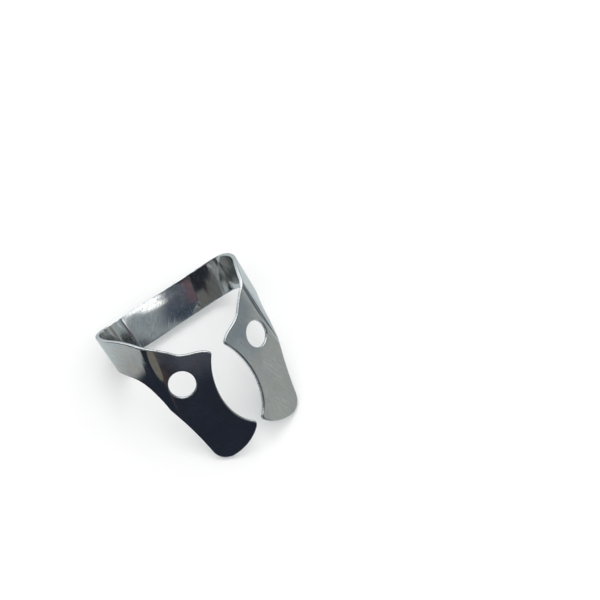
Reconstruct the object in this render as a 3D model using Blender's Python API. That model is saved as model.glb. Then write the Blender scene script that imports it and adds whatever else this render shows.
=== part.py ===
# A rubber dam clamp: one strip of spring steel, stamped flat, then folded twice on each side.
# The bow spans the tooth, an arm hangs from each end of it, and the jaws turn back in under it.
# The flat strip is drawn with x along the bow from its middle and y towards the jaws' free ends.
# The finished clamp lies upside down, on the bow's front edge and the free ends of its jaws.

import math

import bmesh
import bpy
from mathutils import Matrix, Vector
from mathutils.geometry import interpolate_bezier

# Sheet, in metres
SHEET_THICKNESS = 0.00054
EDGE_ROUNDING = 0.00015

# Bow and arms: distances along the flat strip, bend radii to the middle of the sheet
BOW_WIDTH = 0.005
CORNER_DISTANCE = 0.0102
CORNER_RADIUS = 0.00485
CORNER_ANGLE = math.radians(116.4)
CORNER_SKEW = math.radians(1.4)
ARM_LENGTH = 0.0101
JAW_BEND_RADIUS = 0.0027
JAW_BEND_ANGLE = math.radians(42.3)
JAW_BEND_SKEW = math.radians(17.1)

# Jaw: how far its points lie past the jaw bend, and how far down from the strip's middle
HOLE_DIAMETER = 0.0034
HOLE_PAST = 0.00005
HOLE_DOWN = 0.00865
ARM_EDGE_PAST = -0.0054
ARM_EDGE_DOWN = -0.001
WAIST_PAST = 0.0017
WAIST_DOWN = 0.005
NEAR_PRONG_PAST = 0.0054
NEAR_PRONG_DOWN = 0.00785
JAW_LENGTH = 0.01945
FAR_PRONG_PAST = 0.00405
FAR_PRONG_SHORT = 0.00105
HEEL_PAST = -0.0028
HIP_PAST = -0.0032
HIP_DOWN = 0.0103

# Headings of the jaw's outline, turned from +x towards +y
ARM_EDGE_HEADING = math.radians(24.3)
WAIST_HEADING = math.radians(57.4)
NEAR_PRONG_HEADING = math.radians(66.7)
GRIP_START_HEADING = math.radians(136.6)
GRIP_END_HEADING = math.radians(41.8)
HIP_HEADING = math.radians(-86.2)

# Where each edge of the strip starts to widen, short of the jaw bend, and how far free edges bulge
BACK_EDGE_START = 0.01125
FRONT_EDGE_START = 0.012
END_BULGE = 0.00132
OUTER_BULGE = -0.00025

# How far the handles of a curve reach, over the distance between its ends
EDGE_REACH = 0.36
FRONT_EDGE_REACH = 0.45
ARC_REACH = 1 / 3

# Lengths of outline given up to round the jaw's corners
NEAR_PRONG_ROUNDING = 0.00035
FAR_PRONG_ROUNDING = 0.0006
HEEL_ROUNDING = 0.0016

# Fineness
POINT_SPACING = 0.00075
HOLE_POINTS = 40
ROUNDING_POINTS = 5
EDGE_STEPS = 2
CORNER_BEND_STEPS = 16
JAW_BEND_STEPS = 10
SCORE_TOLERANCE = 0.00001
SHARP_ANGLE = math.radians(30)
HALVINGS = 50


def heading(angle):
    return Vector((math.cos(angle), math.sin(angle)))


def smooth_edge(start, start_angle, end, end_angle, reach=EDGE_REACH):
    # An edge that leaves the start and comes to the end at the given headings
    distance = (end - start).length
    count = max(4, math.ceil(distance / POINT_SPACING))
    leave = start + heading(start_angle) * distance * reach
    arrive = end - heading(end_angle) * distance * reach
    return interpolate_bezier(start, leave, arrive, end, count + 1)


def bulged_edge(start, end, bulge):
    # An edge close to a circle's arc, standing out from the straight line by the bulge
    along = end - start
    straight = math.atan2(along.y, along.x)
    turn = 2 * math.atan2(2 * bulge, along.length)
    return smooth_edge(start, straight - turn, end, straight + turn, reach=ARC_REACH)


def shortened(edge, cut):
    # The edge with a length of cut taken off its end
    points = list(edge)
    while len(points) > 2 and (points[-1] - points[-2]).length <= cut:
        cut -= (points[-1] - points[-2]).length
        points.pop()
    last = points[-1] - points[-2]
    points[-1] = points[-1] - last.normalized() * min(cut, 0.9 * last.length)
    return points


def joined_edges(edges, roundings):
    # One outline from edges that follow each other, with each corner between them rounded
    outline = list(edges[0])
    for following, rounding in zip(edges[1:], roundings):
        tip = outline[-1]
        outline = shortened(outline, rounding)
        rest = shortened(following[::-1], rounding)[::-1]
        leave = outline[-1].lerp(tip, 2 / 3)
        arrive = rest[0].lerp(tip, 2 / 3)
        corner = interpolate_bezier(outline[-1], leave, arrive, rest[0], ROUNDING_POINTS)
        outline += corner[1:-1] + rest
    return outline


def half_outline():
    # From the bow's back edge, round one jaw, to the bow's front edge
    jaw_bend = CORNER_DISTANCE + ARM_LENGTH
    arm_edge = Vector((jaw_bend + ARM_EDGE_PAST, ARM_EDGE_DOWN))
    waist = Vector((jaw_bend + WAIST_PAST, WAIST_DOWN))
    near_prong = Vector((jaw_bend + NEAR_PRONG_PAST, NEAR_PRONG_DOWN))
    far_prong = Vector((jaw_bend + FAR_PRONG_PAST, JAW_LENGTH - FAR_PRONG_SHORT))
    heel = Vector((jaw_bend + HEEL_PAST, JAW_LENGTH))
    hip = Vector((jaw_bend + HIP_PAST, HIP_DOWN))
    back_start = Vector((jaw_bend - BACK_EDGE_START, -BOW_WIDTH / 2))
    front_start = Vector((jaw_bend - FRONT_EDGE_START, BOW_WIDTH / 2))

    back = smooth_edge(back_start, 0, arm_edge, ARM_EDGE_HEADING)
    back += smooth_edge(arm_edge, ARM_EDGE_HEADING, waist, WAIST_HEADING)[1:]
    back += smooth_edge(waist, WAIST_HEADING, near_prong, NEAR_PRONG_HEADING)[1:]
    grip = smooth_edge(near_prong, GRIP_START_HEADING, far_prong, GRIP_END_HEADING)
    end = bulged_edge(far_prong, heel, END_BULGE)
    outer = bulged_edge(heel, hip, OUTER_BULGE)
    outer += smooth_edge(hip, HIP_HEADING, front_start, -math.pi, reach=FRONT_EDGE_REACH)[1:]
    roundings = [NEAR_PRONG_ROUNDING, FAR_PRONG_ROUNDING, HEEL_ROUNDING]
    return joined_edges([back, grip, end, outer], roundings)


def strip_outline():
    half = half_outline()
    return half + [Vector((-point.x, point.y)) for point in reversed(half)]


def hole_outline(side):
    # Clockwise, so that the metal lies on its left as it does along the strip's outline
    centre = Vector((side * (CORNER_DISTANCE + ARM_LENGTH + HOLE_PAST), HOLE_DOWN))
    steps = [2 * math.pi * step / HOLE_POINTS for step in range(HOLE_POINTS)]
    return [centre + heading(-step) * HOLE_DIAMETER / 2 for step in steps]


def rounded_rim():
    # Inset and height of the sheet's rim, from its lower face round to its upper face
    flat = SHEET_THICKNESS / 2 - EDGE_ROUNDING
    steps = [math.pi / 2 * step / EDGE_STEPS for step in range(EDGE_STEPS + 1)]
    lower = [(EDGE_ROUNDING * (1 - math.sin(step)), -flat - EDGE_ROUNDING * math.cos(step)) for step in steps]
    return lower + [(inset, -height) for inset, height in reversed(lower)]


def add_rim(mesh, outline):
    # The wall along an outline, and the edges that its lower and upper face start from
    count = len(outline)
    outward = []
    for place in range(count):
        along = outline[(place + 1) % count] - outline[place - 1]
        outward.append(Vector((along.y, -along.x)).normalized())
    rings = []
    for inset, height in rounded_rim():
        inner = [point - away * inset for point, away in zip(outline, outward)]
        rings.append([mesh.verts.new((point.x, point.y, height)) for point in inner])
    for low, high in zip(rings, rings[1:]):
        for place in range(count):
            following = (place + 1) % count
            mesh.faces.new((low[place], low[following], high[following], high[place]))
    ends = rings[0], rings[-1]
    return [[mesh.edges.get((ring[place - 1], ring[place])) for place in range(count)] for ring in ends]


def flat_strip():
    mesh = bmesh.new()
    rims = [add_rim(mesh, outline) for outline in (strip_outline(), hole_outline(1), hole_outline(-1))]
    lower_edges = [edge for lower, _ in rims for edge in lower]
    upper_edges = [edge for _, upper in rims for edge in upper]
    bmesh.ops.triangle_fill(mesh, edges=lower_edges, use_beauty=True, normal=(0, 0, -1))
    bmesh.ops.triangle_fill(mesh, edges=upper_edges, use_beauty=True, normal=(0, 0, 1))
    bmesh.ops.recalc_face_normals(mesh, faces=mesh.faces)
    return mesh


class Bend:
    # A fold of the strip about a line that crosses it, away from the side that faces up
    def __init__(self, side, distance, skew, radius, angle, steps):
        self.line = Vector((side * distance, 0, 0))
        self.across = Vector((side * math.cos(skew), math.sin(skew), 0))
        self.radius = radius
        self.reach = radius * angle / 2
        self.steps = steps

    def score(self, mesh):
        # Edges across the strip, close enough together for the fold to look round
        for step in range(self.steps + 1):
            offset = self.reach * (2 * step / self.steps - 1)
            parts = [*mesh.verts, *mesh.edges, *mesh.faces]
            place = self.line + self.across * offset
            bmesh.ops.bisect_plane(mesh, geom=parts, dist=SCORE_TOLERANCE, plane_co=place, plane_no=self.across)

    def fold(self, flat, place):
        # Where the fold takes a point of the flat strip that later folds have already moved
        travelled = (flat - self.line).dot(self.across) + self.reach
        travelled = min(max(travelled, 0), 2 * self.reach)
        up = Vector((0, 0, 1))
        pivot = self.line - self.across * self.reach - up * self.radius
        turn = Matrix.Rotation(travelled / self.radius, 3, up.cross(self.across))
        return pivot + turn @ (place - self.across * travelled - pivot)


def bends(side):
    # The jaw's bend comes first, because the corner's bend carries the folded jaw round
    jaw_distance = CORNER_DISTANCE + ARM_LENGTH
    return [
        Bend(side, jaw_distance, JAW_BEND_SKEW, JAW_BEND_RADIUS, JAW_BEND_ANGLE, JAW_BEND_STEPS),
        Bend(side, CORNER_DISTANCE, CORNER_SKEW, CORNER_RADIUS, CORNER_ANGLE, CORNER_BEND_STEPS),
    ]


def folded(point):
    side = 1 if point.x >= 0 else -1
    place = point
    for bend in bends(side):
        place = bend.fold(point, place)
    return place


def resting_turn(bow, jaws):
    # The turn about X that sets the bow's front edge and the jaws' free ends on one level
    least, most = -math.pi, -math.pi / 2
    for _ in range(HALVINGS):
        turn = (least + most) / 2
        over = Matrix.Rotation(turn, 3, "X")
        if min((over @ point).z for point in bow) < min((over @ point).z for point in jaws):
            least = turn
        else:
            most = turn
    return turn


def steel():
    material = bpy.data.materials.new("spring_steel")
    material.use_nodes = True
    shader = material.node_tree.nodes["Principled BSDF"]
    shader.inputs["Base Color"].default_value = (0.62, 0.63, 0.64, 1)
    shader.inputs["Metallic"].default_value = 1
    shader.inputs["Roughness"].default_value = 0.16
    return material


def clamp():
    mesh = flat_strip()
    for side in (1, -1):
        for bend in bends(side):
            bend.score(mesh)
    flat = [vertex.co.copy() for vertex in mesh.verts]
    places = [folded(point) for point in flat]
    for vertex, place in zip(mesh.verts, places):
        vertex.co = place
    bmesh.ops.recalc_face_normals(mesh, faces=mesh.faces)

    jaw_start = CORNER_DISTANCE + ARM_LENGTH
    bow = [place for point, place in zip(flat, places) if abs(point.x) < CORNER_DISTANCE]
    jaws = [place for point, place in zip(flat, places) if abs(point.x) > jaw_start]
    turn = resting_turn(bow, jaws)
    lying = [Matrix.Rotation(turn, 3, "X") @ place for place in places]
    middle = (min(place.y for place in lying) + max(place.y for place in lying)) / 2
    floor = min(place.z for place in lying)

    data = bpy.data.meshes.new("clamp")
    mesh.to_mesh(data)
    mesh.free()
    data.shade_smooth()
    data.set_sharp_from_angle(angle=SHARP_ANGLE)
    data.materials.append(steel())
    part = bpy.data.objects.new("clamp", data)
    part.rotation_euler.x = turn
    part.location = (0, -middle, -floor)
    bpy.context.scene.collection.objects.link(part)


for old in list(bpy.data.objects):
    bpy.data.objects.remove(old)
clamp()
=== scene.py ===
import math

import bmesh
import bpy
from mathutils import Matrix, Vector


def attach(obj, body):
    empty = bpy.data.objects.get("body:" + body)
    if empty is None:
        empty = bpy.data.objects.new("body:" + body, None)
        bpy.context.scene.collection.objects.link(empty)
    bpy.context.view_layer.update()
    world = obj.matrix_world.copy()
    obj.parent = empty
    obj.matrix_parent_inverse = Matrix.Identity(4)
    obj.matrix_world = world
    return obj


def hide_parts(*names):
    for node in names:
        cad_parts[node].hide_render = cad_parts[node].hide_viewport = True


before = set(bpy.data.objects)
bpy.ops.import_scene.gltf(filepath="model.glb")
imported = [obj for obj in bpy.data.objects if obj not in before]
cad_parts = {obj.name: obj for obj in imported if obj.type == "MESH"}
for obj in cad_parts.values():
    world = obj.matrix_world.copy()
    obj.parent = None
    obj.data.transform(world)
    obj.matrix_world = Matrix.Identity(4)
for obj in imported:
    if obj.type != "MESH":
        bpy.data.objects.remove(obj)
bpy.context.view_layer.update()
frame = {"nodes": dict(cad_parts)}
print("frame loaded:", ", ".join(frame["nodes"]))


def startFresh():
    # an operator acts on all that is selected, and the loaded nodes come in selected
    if bpy.context.object and bpy.context.object.mode != "OBJECT":
        bpy.ops.object.mode_set(mode="OBJECT")
    bpy.ops.object.select_all(action="DESELECT")


def selectVertices(piece, wanted):
    # in edit mode: picks the vertices that pass a test
    shape = bmesh.from_edit_mesh(piece.data)
    shape.verts.ensure_lookup_table()
    for edge in shape.edges:
        edge.select = False
    for face in shape.faces:
        face.select = False
    for vertex in shape.verts:
        vertex.select = wanted(vertex)
    shape.select_flush(True)
    bmesh.update_edit_mesh(piece.data, loop_triangles=False, destructive=False)


# ---- the clamp: a flat blank drawn as a curve, folded on one side, mirrored and laid down

blank = {
    "thickness": 0.00054,
    "rimRadius": 0.00015,
    "rimSegments": 4,
    "bowWidth": 0.005,
    "holeDiameter": 0.0034,
    "holePast": 0.00005,       # past the jaw bend
    "holeDown": 0.00865,       # down from the strip's middle
    "nearProngRounding": 0.00035,
    "farProngRounding": 0.0006,
    "heelRounding": 0.0016,
    "endBulge": 0.00132,
    "outerBulge": -0.00025,
    "reach": 0.36,             # curve handles, over the distance between the ends
    "frontReach": 0.45,
    "gripHeading": 136.6,      # degrees, where the gripping edge leaves the near prong
    "curveSteps": 22,
    "overlap": 0.001,          # past the middle, where the half is cut before it is mirrored
    "weld": 0.000001,
    "middleCut": 0.0000001,    # how close to a cut a vertex counts as on it
    "sliceCut": 0.000002,
    "mirrorWeld": 0.000002,
    "flatNormal": 0.999,       # a face that looks up or down more than this is flat
}

cornerBend = {"at": 0.0102, "skew": 1.4, "radius": 0.00485, "angle": 116.4, "slices": 64}
jawBend = {"at": 0.0203, "skew": 17.1, "radius": 0.0027, "angle": 42.3, "slices": 26}
sliceHair = 0.000004           # a vertex that lies this close to a slice takes half of its step
restTurn = -151.6222           # about X, so that the bow's front edge and the jaws' ends touch down

knots = {                      # past the jaw bend, down from the middle, heading in degrees
    "backStart": (-0.01125, -0.0025, 0),
    "armEdge": (-0.0054, -0.001, 24.3),
    "waist": (0.0017, 0.005, 57.4),
    "nearProng": (0.0054, 0.00785, 66.7),
    "farProng": (0.00405, 0.0184, 41.8),
    "heel": (-0.0028, 0.01945, None),
    "hip": (-0.0032, 0.0103, -86.2),
    "frontStart": (-0.012, 0.0025, -180),
}


def place(name):
    past, down, _ = knots[name]
    return Vector((jawBend["at"] + past, down, 0))


def towards(degrees):
    return Vector((math.cos(math.radians(degrees)), math.sin(math.radians(degrees)), 0))


def curvedEdge(start, startHeading, end, endHeading, reach):
    length = (end - start).length * reach
    return [start, start + towards(startHeading) * length, end - towards(endHeading) * length, end]


def knotEdge(first, second, reach=blank["reach"]):
    return curvedEdge(place(first), knots[first][2], place(second), knots[second][2], reach)


def arcEdge(first, second, bulge):
    start, end = place(first), place(second)
    along = end - start
    straight = math.degrees(math.atan2(along.y, along.x))
    turn = math.degrees(2 * math.atan2(2 * bulge, along.length))
    return curvedEdge(start, straight - turn, end, straight + turn, 1 / 3)


def straightEdge(start, end):
    return [start, start.lerp(end, 1 / 3), start.lerp(end, 2 / 3), end]


def split(edge, share):
    # a curve's two parts, as their own handles
    first = [edge[i].lerp(edge[i + 1], share) for i in range(3)]
    second = [first[i].lerp(first[i + 1], share) for i in range(2)]
    middle = second[0].lerp(second[1], share)
    return [edge[0], first[0], second[0], middle], [middle, second[1], first[2], edge[3]]


def roundCorner(before, after, cut):
    # both edges give up a length of cut, and a curve that bends at the old tip joins them
    tip = before[3]
    keepBefore, _ = split(before, 1 - cut / (3 * (before[3] - before[2]).length))
    _, keepAfter = split(after, cut / (3 * (after[1] - after[0]).length))
    start, end = keepBefore[3], keepAfter[0]
    return keepBefore, [start, start.lerp(tip, 2 / 3), end.lerp(tip, 2 / 3), end], keepAfter


def halfOutline():
    backA = knotEdge("backStart", "armEdge")
    backB = knotEdge("armEdge", "waist")
    backC = knotEdge("waist", "nearProng")
    grip = curvedEdge(place("nearProng"), blank["gripHeading"],
                      place("farProng"), knots["farProng"][2], blank["reach"])
    end = arcEdge("farProng", "heel", blank["endBulge"])
    outer = arcEdge("heel", "hip", blank["outerBulge"])
    front = knotEdge("hip", "frontStart", blank["frontReach"])
    backC, nearRound, grip = roundCorner(backC, grip, blank["nearProngRounding"])
    grip, farRound, end = roundCorner(grip, end, blank["farProngRounding"])
    end, heelRound, outer = roundCorner(end, outer, blank["heelRounding"])
    return [backA, backB, backC, nearRound, grip, farRound, end, heelRound, outer, front]


def drawBlank():
    half = halfOutline()
    backEnd = Vector((-blank["overlap"], -blank["bowWidth"] / 2, 0))
    frontEnd = Vector((-blank["overlap"], blank["bowWidth"] / 2, 0))
    edges = [straightEdge(backEnd, half[0][0]), *half, straightEdge(half[-1][3], frontEnd),
             straightEdge(frontEnd, backEnd)]

    startFresh()
    bpy.ops.curve.primitive_bezier_circle_add(radius=0.001)
    drawn = bpy.context.object
    drawn.name = "clampSteel"
    curve = drawn.data
    curve.dimensions = "2D"
    curve.fill_mode = "BOTH"
    curve.resolution_u = blank["curveSteps"]
    spline = curve.splines[0]
    spline.bezier_points.add(len(edges) - len(spline.bezier_points))
    for i, edge in enumerate(edges):
        point = spline.bezier_points[i]
        point.handle_left_type = point.handle_right_type = "FREE"
        point.co, point.handle_right, point.handle_left = edge[0], edge[1], edges[i - 1][2]
    bpy.ops.object.mode_set(mode="EDIT")
    hole = (jawBend["at"] + blank["holePast"], blank["holeDown"], 0)
    bpy.ops.curve.primitive_bezier_circle_add(radius=blank["holeDiameter"] / 2, location=hole)
    bpy.ops.object.mode_set(mode="OBJECT")
    curve.bevel_depth = blank["rimRadius"]
    curve.bevel_resolution = blank["rimSegments"]
    curve.offset = -blank["rimRadius"]
    curve.extrude = blank["thickness"] / 2 - blank["rimRadius"]
    bpy.ops.object.convert(target="MESH")
    return bpy.context.object


def cleanBlank():
    bpy.ops.object.mode_set(mode="EDIT")
    bpy.ops.mesh.select_all(action="SELECT")
    bpy.ops.mesh.remove_doubles(threshold=blank["weld"])
    bpy.ops.mesh.bisect(plane_co=(0, 0, 0), plane_no=(1, 0, 0), clear_inner=True,
                        threshold=blank["middleCut"])
    bpy.ops.mesh.select_all(action="SELECT")
    bpy.ops.mesh.normals_make_consistent(inside=False)
    bpy.ops.object.mode_set(mode="OBJECT")


def markRims(piece):
    # the flat faces keep their own normals, so that they mirror without a bow in them
    bpy.ops.object.mode_set(mode="EDIT")
    bpy.ops.mesh.select_mode(type="FACE")
    shape = bmesh.from_edit_mesh(piece.data)
    for face in shape.faces:
        face.select = abs(face.normal.z) > blank["flatNormal"]
    shape.select_flush(True)
    bmesh.update_edit_mesh(piece.data)
    bpy.ops.mesh.region_to_loop()
    bpy.ops.mesh.mark_sharp()
    bpy.ops.mesh.select_mode(type="VERT")
    bpy.ops.object.mode_set(mode="OBJECT")


def nameSurfaces(piece):
    # millimetres on the flat sheet for the scratches to follow, and where the cut rims are
    sheet = piece.data.uv_layers.new(name="sheet")
    rim = piece.data.attributes.new("rim", "FLOAT", "POINT")
    for corner in piece.data.loops:
        spot = piece.data.vertices[corner.vertex_index].co
        sheet.data[corner.index].uv = (spot.x * 1000, spot.y * 1000)
    for vertex in piece.data.vertices:
        depth = blank["thickness"] / 2 - abs(vertex.co.z)
        rim.data[vertex.index].value = min(depth / blank["rimRadius"], 1)
    piece.data.uv_layers.active = sheet


def onSheet(bend):
    # a bend's middle, the direction across it and half its width, on the flat sheet
    half = bend["radius"] * math.radians(bend["angle"]) / 2
    return Vector((bend["at"], 0, 0)), towards(bend["skew"]), half


def scoreBend(bend):
    # slices across the strip, close enough together for the fold to mirror smoothly
    middle, across, half = onSheet(bend)
    bpy.ops.object.mode_set(mode="EDIT")
    for i in range(bend["slices"] + 1):
        spot = middle + across * (half * (2 * i / bend["slices"] - 1))
        bpy.ops.mesh.select_all(action="SELECT")
        bpy.ops.mesh.bisect(plane_co=spot, plane_no=across, threshold=blank["sliceCut"])
    bpy.ops.object.mode_set(mode="OBJECT")


def turnSelected(angle, axis, centre=(0, 0, 0)):
    # with no window the operator turns the other way
    side = axis.orthogonal().normalized()
    turned = Matrix((side, axis.cross(side), axis)).transposed()
    bpy.ops.transform.rotate(value=-angle, orient_axis="Z", orient_matrix=turned,
                             center_override=centre)


def foldBend(piece, bend, flat):
    # turns all that lies past each slice by one small step, slice after slice
    middle, across, half = onSheet(bend)
    axis = Vector((0, 0, 1)).cross(across)
    step = math.radians(bend["angle"]) / bend["slices"]
    sliceWidth = 2 * half / bend["slices"]
    travel = [(spot - middle).dot(across) for spot in flat]
    line = middle - across * half
    along = across.copy()
    bpy.ops.object.mode_set(mode="EDIT")
    for i in range(bend["slices"] + 1):
        offset = -half + sliceWidth * i
        turn = step / 2 if i in (0, bend["slices"]) else step
        for nearest in (offset - sliceHair, offset + sliceHair):
            selectVertices(piece, lambda vertex: travel[vertex.index] > nearest)
            turnSelected(turn / 2, axis, line)
        along = Matrix.Rotation(turn, 3, axis) @ along
        line = line + along * sliceWidth
    bpy.ops.object.mode_set(mode="OBJECT")


def mirrorHalf(piece):
    mirror = piece.modifiers.new("otherSide", "MIRROR")
    mirror.use_axis = (True, False, False)
    mirror.merge_threshold = blank["mirrorWeld"]
    mirror.use_mirror_u = True     # so that the scratches differ from side to side
    bpy.ops.object.modifier_apply(modifier=mirror.name)


def layDown(piece):
    bpy.ops.object.mode_set(mode="EDIT")
    bpy.ops.mesh.select_all(action="SELECT")
    turnSelected(math.radians(restTurn), Vector((1, 0, 0)))
    bpy.ops.mesh.normals_make_consistent(inside=False)
    bpy.ops.object.mode_set(mode="OBJECT")
    spots = [vertex.co for vertex in piece.data.vertices]
    middle = (min(spot.y for spot in spots) + max(spot.y for spot in spots)) / 2
    lowest = min(spot.z for spot in spots)
    bpy.ops.object.mode_set(mode="EDIT")
    bpy.ops.transform.translate(value=(0, -middle, -lowest))
    bpy.ops.object.mode_set(mode="OBJECT")


def makeClamp():
    piece = drawBlank()
    cleanBlank()
    markRims(piece)
    nameSurfaces(piece)
    scoreBend(jawBend)
    scoreBend(cornerBend)
    flat = [vertex.co.copy() for vertex in piece.data.vertices]
    foldBend(piece, jawBend, flat)
    foldBend(piece, cornerBend, flat)
    print("blank folded:", len(piece.data.vertices), "vertices on one side")
    mirrorHalf(piece)
    layDown(piece)
    bpy.ops.object.shade_smooth(keep_sharp_edges=True)
    return piece


clamp = makeClamp()
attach(clamp, "root")
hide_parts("clamp")
print("clamp laid down:", [round(side * 1000, 3) for side in clamp.dimensions], "mm")


# ---- materials

class Signal:
    # a socket that can be written in sums; node() adds any other node
    def __init__(self, tree, socket=None):
        self.tree, self.socket = tree, socket

    def node(self, kind, settings=None, sockets=None, out=0):
        made = self.tree.nodes.new(kind)
        for name, value in (settings or {}).items():
            setattr(made, name, value)
        for name, value in (sockets or {}).items():
            if isinstance(value, Signal):
                self.tree.links.new(value.socket, made.inputs[name])
            else:
                made.inputs[name].default_value = value
        return Signal(self.tree, made.outputs[out] if made.outputs else None)

    def maths(self, operation, *values):
        return self.node("ShaderNodeMath", {"operation": operation}, dict(enumerate(values)))

    def __add__(self, other):
        return self.maths("ADD", self, other)

    def __sub__(self, other):
        return self.maths("SUBTRACT", self, other)

    def __rsub__(self, other):
        return self.maths("SUBTRACT", other, self)

    def __mul__(self, other):
        return self.maths("MULTIPLY", self, other)

    def __truediv__(self, other):
        return self.maths("DIVIDE", self, other)

    def __pow__(self, other):
        return self.maths("POWER", self, other)

    def __abs__(self):
        return self.maths("ABSOLUTE", self)

    __radd__ = __add__
    __rmul__ = __mul__

    def rise(self, low, high):
        # 0 below low, 1 above high, smooth between; low may be the larger one
        return self.node("ShaderNodeMapRange", {"interpolation_type": "SMOOTHSTEP"},
                         {"Value": self, "From Min": low, "From Max": high})

    def between(self, first, second):
        # the first colour where this is 0, the second where it is 1
        return self.node("ShaderNodeMix", {"data_type": "RGBA"},
                         {0: self, 6: first, 7: second}, out=2)

    def axis(self, letter):
        return self.node("ShaderNodeSeparateXYZ", None, {0: self}, out=letter)

    def stretched(self, turn, scale, shift=(0, 0, 0)):
        return self.node("ShaderNodeMapping", {"vector_type": "TEXTURE"}, {
            "Vector": self, "Rotation": (0, 0, turn), "Scale": scale, "Location": shift})

    def noise(self, scale, detail=2, roughness=0.5):
        return self.node("ShaderNodeTexNoise", None,
                         {"Vector": self, "Scale": scale, "Detail": detail, "Roughness": roughness})


def newMaterial(name):
    material = bpy.data.materials.new(name)
    material.use_nodes = True
    material.node_tree.nodes.clear()
    return material, Signal(material.node_tree)


steel = {                      # each noise is a scale per millimetre, its detail and its roughness
    "colour": (0.58, 0.60, 0.615, 1),
    "worn": (0.74, 0.75, 0.755, 1),
    "warm": (0.64, 0.612, 0.565, 1),
    "dull": (0.47, 0.485, 0.50, 1),
    "warmNoise": (0.55, 3, 0.6),
    "warmRise": (0.42, 0.66),
    "dullNoise": (1.1, 3, 0.6),
    "dullRise": (0.50, 0.74),
    "dullShare": 0.6,
    "wornRise": (0.33, 0.67),
    "wornLeast": 0.35,         # of the wear, where the hairlines are fewest

    "polish": 0.07,            # roughness of the flat faces
    "haze": 0.06,              # more of it in patches
    "bowHaze": 0.8,            # less of that on the bow, as a share
    "bowPolish": 0.02,
    "scratchRoughness": 0.1,
    "bendRoughness": 0.06,
    "rimRoughness": 0.15,

    "middleAt": 0.5,           # where the middle of the bow lies on the sheet, after the mirroring
    "cornerAt": 9.7,           # millimetres from there
    "cornerReach": (6, 1),
    "cornerFinish": (6.3, 4.3),
    "jawBendAt": 19.8,
    "jawBendReach": (3.5, 0.5),
    "jawBendSkew": 0.3,        # how far it leans for each millimetre down
    "jawBendDown": 8,
    "bowReach": (13, 9),

    "swellNoise": (170, 1),    # slow waves that the polishing wheel leaves; scale per metre
    "swell": 0.000016,
    "bendSwell": 0.00006,      # and the deeper ones of the bends
    "cup": 0.000014,           # the strip's crown at its corners, over millimetres squared
    "crown": 0.000006,         # and along the bow

    "patchNoise": (0.35, 2),
    "patchRise": (0.35, 0.65),
    "grainAngle": -60,         # degrees, on the flat sheet
    "grainStretch": (1.0, 0.10, 1),
    "grainNoise": (1, 3, 0.6),
    "grain": 0.0000008,
    "grainLeast": 0.4,
    "bowGrain": 0.75,          # less of it on the bow, as a share
    "scratchTurn": 0.12,       # radians off the grain
    "scratchStretch": (8, 0.4, 1),
    "scratchShift": (3, 7, 0),
    "scratchNoise": (1, 2, 0.4),
    "scratchRise": (0.65, 0.77),
    "scratches": 0.0000012,
    "fineNoise": (3.2, 2, 0.6),
    "fine": 0.0000012,
    "bowFine": 0.6,            # less of it on the bow, as a share
    "speckleNoise": (6, 2, 0.7),
    "speckle": 0.0000006,      # on the bow
    "pitNoise": (7, 1),
    "pitRise": (0.62, 0.72),
    "pits": 0.0000035,         # sparse ones on the bow, which catch the light beside the highlight
    "rimNoise": (3800, 2, 0.6),     # scale per metre
    "rimLumps": 0.00008,
}


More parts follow.
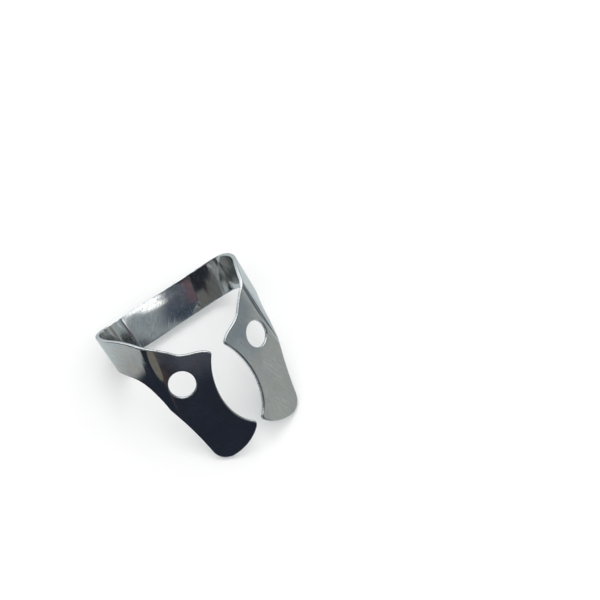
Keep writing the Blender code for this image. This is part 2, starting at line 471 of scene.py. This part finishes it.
def polishedSteel():
    material, base = newMaterial("polishedSteel")
    solid = base.node("ShaderNodeTexCoord", out="Object")
    sheet = base.node("ShaderNodeUVMap", {"uv_map": "sheet"})
    rim = base.node("ShaderNodeAttribute", {"attribute_name": "rim"}, out="Fac")
    flat = 1 - rim

    past = abs(sheet.axis("X") - steel["middleAt"])
    down = sheet.axis("Y")
    fromCorner = abs(past - steel["cornerAt"])
    atCorner = fromCorner.rise(*steel["cornerReach"])
    onCorner = fromCorner.rise(*steel["cornerFinish"])
    lean = steel["jawBendSkew"] * (down - steel["jawBendDown"])
    atJawBend = abs(past - steel["jawBendAt"] + lean).rise(*steel["jawBendReach"])
    onBow = past.rise(*steel["bowReach"])

    grainTurn = math.radians(steel["grainAngle"])
    alongGrain = sheet.stretched(grainTurn, steel["grainStretch"])
    offGrain = sheet.stretched(grainTurn + steel["scratchTurn"], steel["scratchStretch"],
                               steel["scratchShift"])
    patches = sheet.noise(*steel["patchNoise"]).rise(*steel["patchRise"])
    hairlines = alongGrain.noise(*steel["grainNoise"])
    scratches = offGrain.noise(*steel["scratchNoise"]).rise(*steel["scratchRise"])
    pitted = sheet.noise(*steel["pitNoise"]).rise(*steel["pitRise"])

    bends = base.maths("MAXIMUM", atCorner, atJawBend)
    height = solid.noise(*steel["swellNoise"]) * (steel["swell"] + steel["bendSwell"] * bends)
    height -= down * down * onBow * (steel["crown"] + (steel["cup"] - steel["crown"]) * atCorner)
    grain = hairlines * steel["grain"] * (steel["grainLeast"] + (1 - steel["grainLeast"]) * patches)
    height += grain * (1 - steel["bowGrain"] * onBow) * flat
    fine = sheet.noise(*steel["fineNoise"]) * steel["fine"] * (1 - steel["bowFine"] * onBow)
    height += fine * flat
    height += sheet.noise(*steel["speckleNoise"]) * steel["speckle"] * flat * onBow
    height -= pitted * steel["pits"] * flat * onBow
    height -= scratches * steel["scratches"] * flat
    height += solid.noise(*steel["rimNoise"]) * rim * steel["rimLumps"]
    bumps = base.node("ShaderNodeBump", None, {"Strength": 1, "Distance": 1, "Height": height})

    warmth = sheet.noise(*steel["warmNoise"]).rise(*steel["warmRise"]) * flat
    dullness = sheet.noise(*steel["dullNoise"]).rise(*steel["dullRise"]) * steel["dullShare"] * flat
    rubbed = steel["wornLeast"] + (1 - steel["wornLeast"]) * patches
    wear = (hairlines.rise(*steel["wornRise"]) * rubbed + scratches) * flat
    tone = warmth.between(steel["colour"], steel["warm"])
    colour = wear.between(dullness.between(tone, steel["dull"]), steel["worn"])

    haze = steel["haze"] * patches * hairlines * (1 - steel["bowHaze"] * onBow)
    roughness = steel["polish"] + haze - steel["bowPolish"] * onBow
    roughness += steel["scratchRoughness"] * scratches * patches + steel["bendRoughness"] * onCorner
    roughness += rim * (steel["rimRoughness"] - steel["polish"])
    shader = base.node("ShaderNodeBsdfPrincipled", None, {
        "Base Color": colour, "Metallic": 1, "Roughness": roughness, "Normal": bumps})
    base.node("ShaderNodeOutputMaterial", None, {"Surface": shader})
    return material


clamp.data.materials.clear()
clamp.data.materials.append(polishedSteel())
print("steel finished")


# ---- floor, cards, light and camera

floorLook = {"size": 1.2, "colour": (0.96, 0.96, 0.96, 1), "roughness": 0.7, "specular": 0.2}


def makeFloor():
    startFresh()
    bpy.ops.mesh.primitive_plane_add(size=floorLook["size"])
    floor = bpy.context.object
    floor.name = "floor"
    material, base = newMaterial("paleFloor")
    shader = base.node("ShaderNodeBsdfPrincipled", None, {
        "Base Color": floorLook["colour"], "Roughness": floorLook["roughness"],
        "Specular IOR Level": floorLook["specular"]})
    base.node("ShaderNodeOutputMaterial", None, {"Surface": shader})
    floor.data.materials.append(material)


makeFloor()


def shapeCard(size=(1, 1, 1), turns=(), middle=(0, 0, 0)):
    # a turn is degrees about an axis
    bpy.ops.object.mode_set(mode="EDIT")
    bpy.ops.transform.resize(value=size)
    for degrees, axis in turns:
        turnSelected(math.radians(degrees), Vector(axis))
    bpy.ops.transform.translate(value=middle)
    bpy.ops.object.mode_set(mode="OBJECT")


def hangCard(name, materialName, paint):
    # polished metal shows the card, and it neither shows itself nor lights or shades anything
    card = bpy.context.object
    card.name = name
    material, base = newMaterial(materialName)
    colour = paint(base.node("ShaderNodeTexCoord", out="Object"))
    light = base.node("ShaderNodeEmission", None, {"Color": colour})
    base.node("ShaderNodeOutputMaterial", None, {"Surface": light})
    card.data.materials.append(material)
    card.visible_camera = card.visible_diffuse = card.visible_transmission = False
    card.visible_shadow = card.visible_volume_scatter = False


tent = {                       # small and round, so that each flat face mirrors its own piece of it
    "radius": 0.12,
    "segments": 96,
    "colour": (0.78, 0.82, 0.83, 1),
    "wanderNoise": (11, 2),
    "wander": 0.28,            # how far the cards' edges stray, over their own size
}

tentCards = {                  # middle azimuth and elevation, half sizes, turn, corner, softness, colour
    "frontCurtain": (-21, 31, 59, 46, 0, 6, 0.04, (0.022, 0.028, 0.042)),
    "topLight": (0, 92, 400, 13, 0, 2, 0.12, (1.9, 1.95, 1.95)),
    "backLight": (145, 42, 42, 26, 0, 2, 0.4, (1.9, 1.95, 1.95)),
    "backLeft": (-166, 25, 19, 32, 0, 2, 0.2, (1.6, 1.65, 1.65)),
    "leftWall": (-116, 28, 30, 38, 0, 6, 0.08, (0.060, 0.062, 0.065)),
    "hood": (0, 10, 85, 54, 0, 2, 0.025, (0.150, 0.155, 0.150)),
    "archSide": (-60, 44, 27, 9.5, 31, 2, 0.06, (0.145, 0.150, 0.145)),
    "doorway": (-30, 3, 74, 29, 0, 2, 0.04, (0.022, 0.028, 0.042)),
    "leftScreen": (-83, 22, 15, 9.5, 25, 2, 0.15, (0.28, 0.30, 0.30)),
    "blackArch": (-58, 58, 30, 6, 30, 4, 0.08, (0.020, 0.023, 0.033)),
    "sideScreen": (73, 8, 34, 24, 0, 6, 0.10, (0.425, 0.45, 0.435)),
    "blueSide": (58, 18, 8, 5.0, 0, 2, 0.4, (0.27, 0.31, 0.335)),
    "paleLeft": (66, 58, 25, 26, 0, 6, 0.04, (0.40, 0.45, 0.46)),
    "oliveSide": (83, 24, 6, 7, 0, 2, 0.15, (0.19, 0.19, 0.172)),
    "slateTop": (-31, 34, 9, 5.0, 0, 2, 0.3, (0.085, 0.092, 0.115)),
    "brownCard": (-44, 25.5, 6.5, 3.4, 25, 2, 0.3, (0.070, 0.053, 0.060)),
    "darkOval": (54, 44.5, 24, 7.0, -32, 2, 0.10, (0.030, 0.031, 0.036)),
    "glint": (61, 53.5, 2.5, 1.5, -40, 2, 0.4, (1.0, 1.0, 0.95)),
    "blackTop": (-8, 69, 30, 8, 0, 4, 0.08, (0.018, 0.020, 0.028)),
    "paleSide": (24.5, 62.5, 6.5, 8, 0, 4, 0.08, (0.33, 0.375, 0.395)),
    "darkFoot": (18.0, 57.8, 2.2, 2.8, 0, 2, 0.3, (0.050, 0.054, 0.066)),
    "slateSide": (34.7, 58.5, 9, 6, 37.8, 6, 0.06, (0.080, 0.100, 0.136)),
    "slateDeep": (28.6, 56.9, 2.4, 1.5, 0, 2, 0.3, (0.050, 0.070, 0.100)),
    "blackSide": (40.2, 62.0, 3.6, 3.2, 0, 4, 0.10, (0.016, 0.020, 0.028)),
    "brownSide": (35.0, 59.8, 4.6, 1.3, 40.7, 4, 0.08, (0.165, 0.088, 0.100)),
    "softBox": (30.0, 64.0, 2.2, 1.3, -16, 2, 0.4, (1.9, 1.95, 1.95)),
    "lightStrip": (30.0, 65.9, 4.0, 0.9, -16, 4, 0.2, (2.3, 2.35, 2.35)),
}


def tentPaint(spot):
    # a card covers the ones before it
    away = spot.node("ShaderNodeVectorMath", {"operation": "NORMALIZE"}, {0: spot})
    stray = away.noise(*tent["wanderNoise"]) - 0.5
    azimuth = away.maths("ARCTAN2", away.axis("X"), away.axis("Y") * -1) * math.degrees(1)
    elevation = away.maths("ARCSINE", away.axis("Z")) * math.degrees(1)
    colour = tent["colour"]
    for middle, height, wide, high, turn, corner, soft, shade in tentCards.values():
        right, up = azimuth - middle, elevation - height
        c, s = math.cos(math.radians(turn)), math.sin(math.radians(turn))
        across = abs((right * c + up * s) / wide)
        along = abs((up * c - right * s) / high)
        reach = (across ** corner + along ** corner) ** (1 / corner) + stray * tent["wander"]
        colour = reach.rise(1 + soft, 1 - soft).between(colour, (*shade, 1))
    return colour


startFresh()
bpy.ops.mesh.primitive_uv_sphere_add(radius=tent["radius"], segments=tent["segments"],
                                     ring_count=tent["segments"] // 2)
hangCard("lightTent", "tentCards", tentPaint)


table = {                      # a sheet just over the floor, which only the steel mirrors: grey, and near black to the left front
    "size": 0.4,
    "height": 0.00002,
    "darkPart": (0.024, 0.03, 0.044, 1),
    "near": (0.42, 0.44, 0.43, 1),
    "far": (0.62, 0.68, 0.69, 1),
    "edge": 0.0034,            # y of the dark part's edge
    "edgeSoft": (-0.0004, 0.0012),
    "farSoft": (0.001, 0.008),      # past the edge, where the table is at its palest
    "ends": (-0.010, -0.008),       # x where the dark part ends
    "turnsAt": -0.03,          # x beyond which the edge draws back
    "drawsBack": 0.22,
    "wanderNoise": (90, 2),
    "wander": 0.002,
}


def tablePaint(spot):
    drawn = spot.maths("MAXIMUM", table["turnsAt"] - spot.axis("X"), 0) * table["drawsBack"]
    stray = (spot.noise(*table["wanderNoise"]) - 0.5) * table["wander"]
    past = spot.axis("Y") - table["edge"] + drawn + stray
    left = past.rise(*table["edgeSoft"]).between(table["darkPart"], table["near"])
    left = past.rise(*table["farSoft"]).between(left, table["far"])
    return spot.axis("X").rise(*table["ends"]).between(left, table["far"])


startFresh()
bpy.ops.mesh.primitive_plane_add(size=table["size"])
shapeCard(middle=(0, 0, table["height"]))
hangCard("tableCard", "greyTable", tablePaint)


flag = {                       # a low banded card that stands to the right
    "x": 0.030,
    "y": (-0.0085, 0.02),
    "top": 0.0095,
    "dark": (0.10, 0.115, 0.14, 1),
    "pale": (0.30, 0.34, 0.36, 1),
    "bands": 1450,             # radians per metre of height
    "wanderNoise": (60, 1),
    "wander": 3,
    "bandRise": (-0.3, 0.9),
}


def flagPaint(spot):
    stray = spot.noise(*flag["wanderNoise"]) * flag["wander"]
    wave = spot.maths("SINE", spot.axis("Z") * flag["bands"] + stray)
    return wave.rise(*flag["bandRise"]).between(flag["dark"], flag["pale"])


startFresh()
bpy.ops.mesh.primitive_plane_add(size=1)
shapeCard((flag["top"], flag["y"][1] - flag["y"][0], 1), [(90, (0, 1, 0))],
          (flag["x"], sum(flag["y"]) / 2, flag["top"] / 2))
hangCard("bandedFlag", "bandedCard", flagPaint)


oliveCard = {                  # a scrap that hangs close to the left bend, which mirrors it
    "middle": (-0.020, -0.0105, 0.0160),
    "long": 0.0078,
    "wide": 0.0026,
    "turn": 37,
    "sides": 48,
    "colour": (0.20, 0.19, 0.165, 1),
}

startFresh()
bpy.ops.mesh.primitive_circle_add(vertices=oliveCard["sides"], radius=1, fill_type="NGON")
shapeCard((oliveCard["wide"], oliveCard["long"], 1),
          [(90, (0, 1, 0)), (-oliveCard["turn"], (1, 0, 0))], oliveCard["middle"])
hangCard("oliveScrap", "oliveScrap", lambda spot: oliveCard["colour"])


cornerStrip = {                # just over the right corner, which would mirror the lights twice
    "x": (0.0057, 0.0068),
    "y": (0.0045, 0.0108),
    "height": 0.0055,
    "dark": (0.020, 0.023, 0.033, 1),
    "olive": (0.165, 0.165, 0.155, 1),
    "turnsOlive": (0.0076, 0.0066),
}


def stripPaint(spot):
    amount = spot.axis("Y").rise(*cornerStrip["turnsOlive"])
    return amount.between(cornerStrip["dark"], cornerStrip["olive"])


startFresh()
bpy.ops.mesh.primitive_plane_add(size=1)
shapeCard((cornerStrip["x"][1] - cornerStrip["x"][0], cornerStrip["y"][1] - cornerStrip["y"][0], 1), (),
          (sum(cornerStrip["x"]) / 2, sum(cornerStrip["y"]) / 2, cornerStrip["height"]))
hangCard("cornerStrip", "cornerStrip", stripPaint)
print("floor and cards set")


camera = {
    "place": (-0.035988, -0.057283, 0.139992),
    "right": (0.78225, -0.62218, 0.03112),
    "up": (0.53242, 0.69367, 0.48513),
    "lens": 71.33,
    "clip": (0.005, 10),
}


def makeCamera():
    startFresh()
    bpy.ops.object.camera_add(location=camera["place"])
    made = bpy.context.object
    right = Vector(camera["right"]).normalized()
    up = Vector(camera["up"]).normalized()
    made.rotation_euler = Matrix((right, up, right.cross(up))).transposed().to_euler()
    made.data.lens = camera["lens"]
    made.data.clip_start, made.data.clip_end = camera["clip"]
    bpy.context.scene.camera = made


makeCamera()


studio = {"colour": (1, 1, 1, 1), "strength": 0.92}


def makeWorld():
    world = bpy.data.worlds.new("studio")
    bpy.context.scene.world = world
    world.use_nodes = True
    world.node_tree.nodes.clear()
    base = Signal(world.node_tree)
    light = base.node("ShaderNodeBackground", None, {
        "Color": studio["colour"], "Strength": studio["strength"]})
    base.node("ShaderNodeOutputWorld", None, {"Surface": light})


makeWorld()


keyLamp = {"place": (0.12, 0.35, 0.5), "size": 0.35, "power": 0.9}


def makeLamp():
    startFresh()
    bpy.ops.object.light_add(type="AREA", location=keyLamp["place"])
    lamp = bpy.context.object
    lamp.name = "keyLamp"
    lamp.data.size = keyLamp["size"]
    lamp.data.energy = keyLamp["power"]
    lamp.rotation_euler = Vector(keyLamp["place"]).to_track_quat("Z", "Y").to_euler()
    lamp.visible_glossy = False


makeLamp()
bpy.context.scene.view_settings.view_transform = "Standard"
print("stage, camera and light set")
